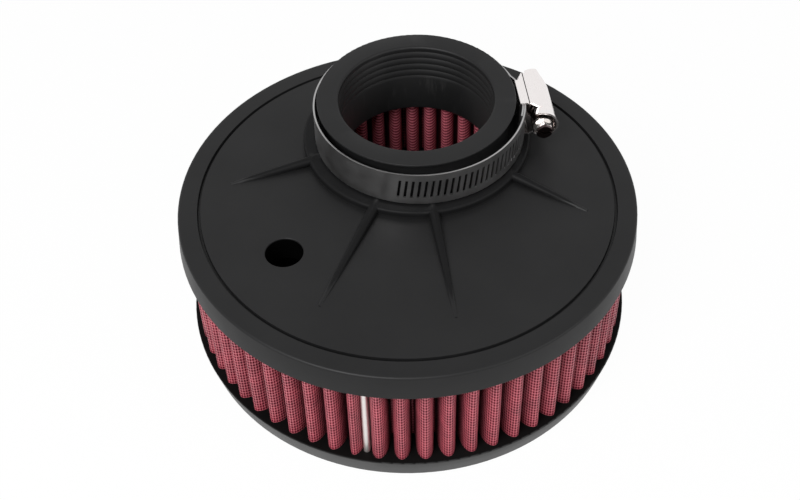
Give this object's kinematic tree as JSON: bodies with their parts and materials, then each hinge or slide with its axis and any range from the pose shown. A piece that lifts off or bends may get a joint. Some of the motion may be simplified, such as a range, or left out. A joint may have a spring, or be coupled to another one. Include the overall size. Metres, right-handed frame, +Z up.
{
  "type": "clamp-on air filter",
  "caption": "Round pleated air filter with an offset clamp-on neck and a vent hole. Its worm-drive hose clamp grips the inlet of an engine.",
  "frame": {"origin": "centre of the bottom cap's underside, on the filter's own axis", "axes": "+Z up through the neck, +Y the way the neck stands off the filter's axis, +X towards the clamp's screw"},
  "size_m": [0.1538, 0.1538, 0.0725],
  "materials": {
    "cap_rubber": "smooth moulded rubber, low sheen",
    "oiled_gauze": "red oiled cotton gauze under a fine wire mesh",
    "seam_metal": "bright folded strip",
    "band_steel": "smooth stainless strip",
    "housing_steel": "smooth stainless sheet",
    "screw_steel": "plated steel"
  },
  "bodies": {
    "filter": {"top_cap": "cap_rubber", "bottom_cap": "cap_rubber", "pleated_element": "oiled_gauze", "seam_clip": "seam_metal", "clamp_band": "band_steel", "clamp_housing": "housing_steel"},
    "screw": {"clamp_screw": "screw_steel"}
  },
  "joints": [
    {"name": "screw_turn", "type": "hinge", "parent": "filter", "child": "screw", "pos_m": [0.0409, 0.03804, 0.0637], "axis": [-0.2267, 0.974, 0], "continuous": true}
  ]
}
